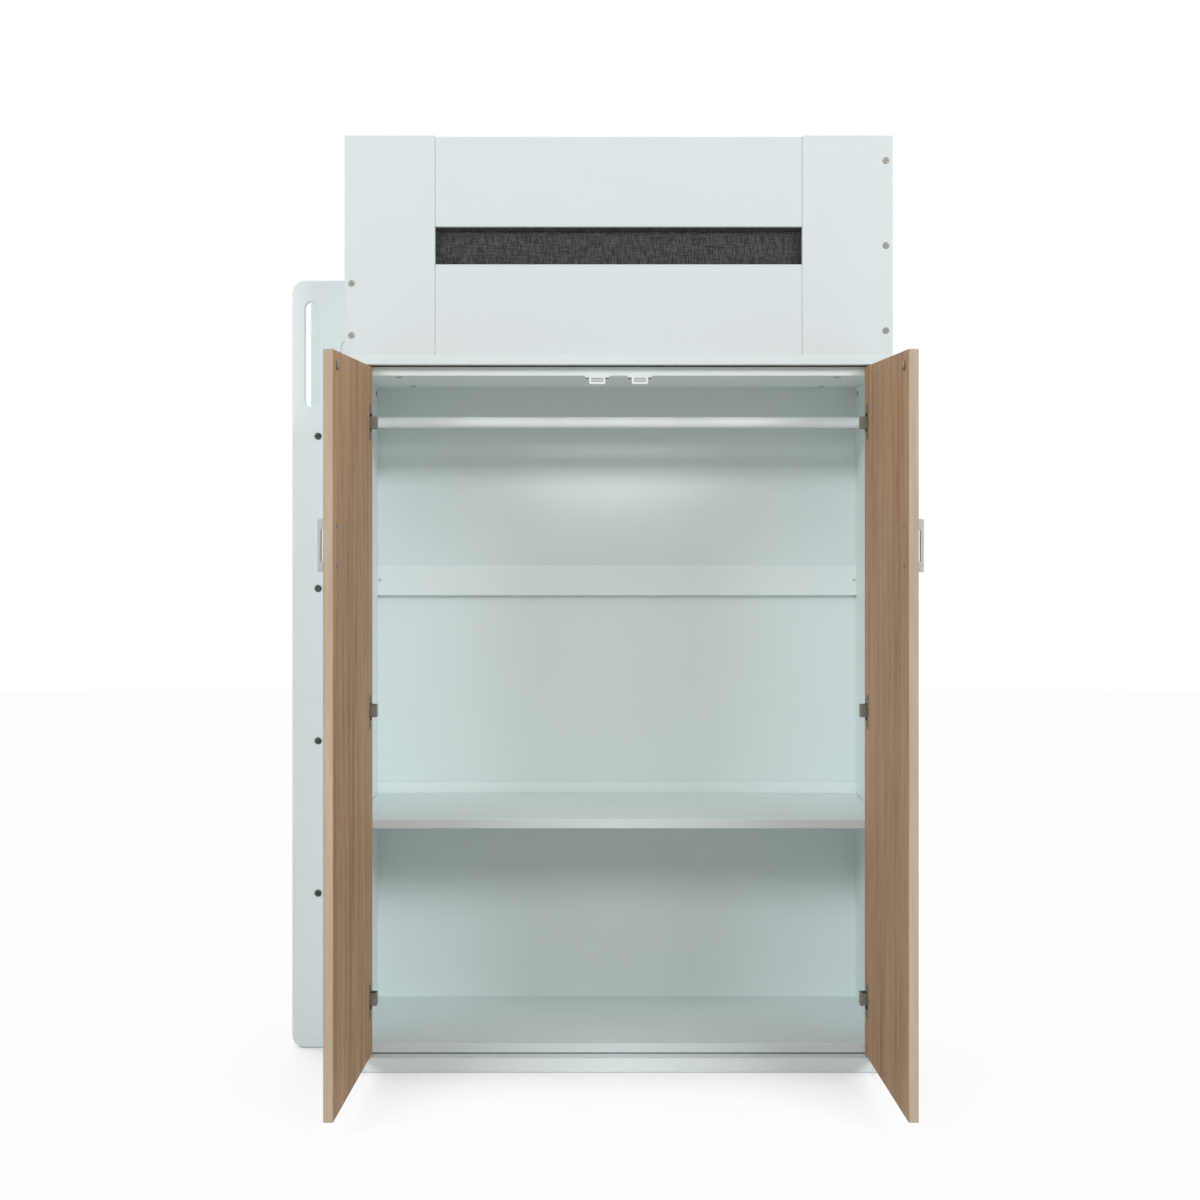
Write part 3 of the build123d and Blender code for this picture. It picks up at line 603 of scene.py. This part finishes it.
def outline(level):
    """The mattress's outline at one level, with round corners."""
    points = []
    for sign_x, sign_y, first in ((1, 1, 0), (-1, 1, 1), (-1, -1, 2), (1, -1, 3)):
        center_x = middle.x + sign_x * (half.x - corner_radius)
        center_y = middle.y + sign_y * (half.y - corner_radius)
        for step in range(corner_steps + 1):
            angle = (first + step / corner_steps) * math.pi / 2
            reach_x, reach_y = corner_radius * math.cos(angle), corner_radius * math.sin(angle)
            points.append(Vector((center_x + reach_x, center_y + reach_y, level)))
    return points


def tape_path(level, smoothings=8):
    """The outline, laid on the cover in short steps and smoothed."""
    points = outline(level)
    path = []
    for start, end in zip(points, points[1:] + points[:1]):
        steps = max(1, round((end - start).length / stitch))
        for step in range(steps):
            place, normal, face, distance = cover_surface.find_nearest(start.lerp(end, step / steps))
            path.append(place + normal * tape_lift)
    for smoothing in range(smoothings):
        before, after = path[-1:] + path[:-1], path[1:] + path[:1]
        path = [(back + 2 * own + ahead) / 4 for back, own, ahead in zip(before, path, after)]
    return path


top_path, bottom_path = tape_path(high.z + 0.004), tape_path(low.z + 0.010)
for path in (top_path, bottom_path):
    levels = [point.z for point in path]
    print(len(path), "points between", round(min(levels), 4), "and", round(max(levels), 4), "m")


# %% Sew the tapes on
def edge_tape(name, path):
    curve = bpy.data.curves.new(name, "CURVE")
    curve.dimensions = "3D"
    curve.bevel_depth = tape_radius
    curve.bevel_resolution = 3
    spline = curve.splines.new("POLY")
    spline.points.add(len(path) - 1)
    for point, place in zip(spline.points, path):
        point.co = (*place, 1)
    spline.use_cyclic_u = True
    holder = bpy.data.objects.new(name + "_curve", curve)
    tape = bpy.data.objects.new(name, bpy.data.meshes.new_from_object(holder))
    bpy.data.objects.remove(holder)
    bpy.context.scene.collection.objects.link(tape)
    for polygon in tape.data.polygons:
        polygon.use_smooth = True
    tape.data.materials.append(finishes["charcoal_tape"])
    print(name, "has", len(tape.data.polygons), "faces")
    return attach(tape, "bed")


edge_tape("mattress_tape_top", top_path)
edge_tape("mattress_tape_bottom", bottom_path)

# %% [markdown]
# ## Studio
# The photograph is a studio cut-out: white all round and soft light from the front and above, so that the
# wardrobe is darkest under its top and grows lighter downwards. The world gives an even light and shows as plain
# white to the camera and in reflections. The floor is a pale disc that glows to the camera, so that it reads as
# white. The glow fades where the bed covers the floor, which keeps the bed's shadow.

# %% Floor
floor_radius = 9.0
floor_gap = 0.0005
shadow_reach = 0.7


def seen_directly(wire):
    """1 for what the camera sees, directly, in a mirror or through glass."""
    path = [wire.node("ShaderNodeLightPath", {}, {}, name) for name in
            ("Is Camera Ray", "Is Glossy Ray", "Is Transmission Ray")]
    return path[0].maths("MAXIMUM", path[1]).maths("MAXIMUM", path[2])


floor_mesh = bpy.data.meshes.new("floor")
shape = bmesh.new()
bmesh.ops.create_circle(shape, cap_ends=True, segments=96, radius=floor_radius)
shape.to_mesh(floor_mesh)
shape.free()
floor = bpy.data.objects.new("floor", floor_mesh)
floor.location.z = cad_low.z - floor_gap
bpy.context.scene.collection.objects.link(floor)
here = start_finish("pale_floor")
paint = here.noise(3.0, 3.0).mix((0.58, 0.58, 0.58, 1), (0.62, 0.62, 0.62, 1))
matt = here.node("ShaderNodeBsdfDiffuse", {}, {"Color": paint})
glow = here.node("ShaderNodeEmission", {}, {"Color": (1, 1, 1, 1), "Strength": 1.0})
open_sky = here.node("ShaderNodeAmbientOcclusion", {"samples": 8}, {"Distance": shadow_reach}, "AO")
shine = seen_directly(here) * open_sky.between(0.0, 0.62) * 0.975
mixed = here.node("ShaderNodeMixShader", {}, {0: shine, 1: matt, 2: glow})
mixed.node("ShaderNodeOutputMaterial", {}, {"Surface": mixed})
floor_mesh.materials.append(finishes["pale_floor"])
print("floor at", round(floor.location.z, 4), "m")

# %% World
ambient = 0.195
world = bpy.data.worlds.new("studio")
world.use_nodes = True
world.node_tree.nodes.clear()
sky = Wire(world.node_tree, None)
even = sky.node("ShaderNodeBackground", {}, {"Color": (0.95, 1.0, 0.92, 1), "Strength": ambient})
white = sky.node("ShaderNodeBackground", {}, {"Color": (1, 1, 1, 1), "Strength": 1.0})
both = sky.node("ShaderNodeMixShader", {}, {0: seen_directly(sky), 1: even, 2: white})
sky.node("ShaderNodeOutputWorld", {}, {"Surface": both})
bpy.context.scene.world = world
print("ambient light", ambient)

# %% [markdown]
# Two large lamps stand far out at the left and right in front. The open doors keep each of them from half of the
# wardrobe's back, which leaves its middle a little darker than its sides, and the distance gives the shadows under
# the top and under the shelf the same slope. A weaker lamp hangs above, out of sight of what is glossy. The lamps
# at the sides, the back and above the bed are there for the other views: the end board and the doors keep their
# light out of the wardrobe.

# %% Lamps
daylight = (0.985, 1.0, 1.035)


def soft_lamp(name, place, target, size, watts):
    """A lamp like a lit sheet, turned to its target."""
    data = bpy.data.lights.new(name, "AREA")
    data.shape = "RECTANGLE"
    data.size, data.size_y = size
    data.energy = watts
    data.color = daylight
    lamp = bpy.data.objects.new(name, data)
    lamp.location = place
    lamp.rotation_euler = (Vector(target) - Vector(place)).to_track_quat("-Z", "Y").to_euler()
    bpy.context.scene.collection.objects.link(lamp)
    print(name, "at", place, watts, "W")
    return lamp


for side, name, watts in ((-1, "key_left", 360.0), (1, "key_right", 394.0)):
    soft_lamp(name, (side * 5.5, -8.6, 4.4), (0.0, 0.1, 0.9), (4.4, 1.8), watts)
key_top = soft_lamp("key_top", (0.0, -3.2, 4.0), (0.0, 0.1, 0.7), (2.4, 1.2), 28.0)
key_top.visible_glossy = False
soft_lamp("fill_left", (-4.6, 2.2, 2.6), (-0.4, 1.1, 0.9), (3.0, 2.0), 75.0)
soft_lamp("fill_right", (4.6, 2.2, 2.6), (0.4, 1.1, 0.9), (3.0, 2.0), 75.0)
soft_lamp("fill_back", (0.0, 6.4, 3.0), (0.0, 1.6, 0.9), (3.0, 2.0), 75.0)
soft_lamp("fill_above", (0.0, 1.3, 4.8), (0.0, 1.2, 1.4), (2.0, 2.6), 45.0)

# %% [markdown]
# ## Camera
# The upright edges of the wardrobe stay parallel in the photograph, so the camera looks level. The horizon sits
# above the middle of the picture, which a lens shift gives without tilting. The distance comes from the
# doors: their near edges look taller than the carcass by as much as they are nearer.

# %% Camera
frame_pixels = 1200
focal_pixels = 2305
horizon_row = 508
camera_data = bpy.data.cameras.new("camera")
camera_data.sensor_width = 36.0
camera_data.lens = camera_data.sensor_width * focal_pixels / frame_pixels
camera_data.shift_y = (horizon_row - frame_pixels / 2) / frame_pixels
camera = bpy.data.objects.new("camera", camera_data)
camera.location = (-0.033, -4.088, 0.999)
camera.rotation_euler = (math.pi / 2, 0.0, 0.0)
bpy.context.scene.collection.objects.link(camera)
bpy.context.scene.camera = camera
bpy.context.scene.view_settings.view_transform = "Standard"
print("lens", round(camera_data.lens, 2), "mm, shift", round(camera_data.shift_y, 4))
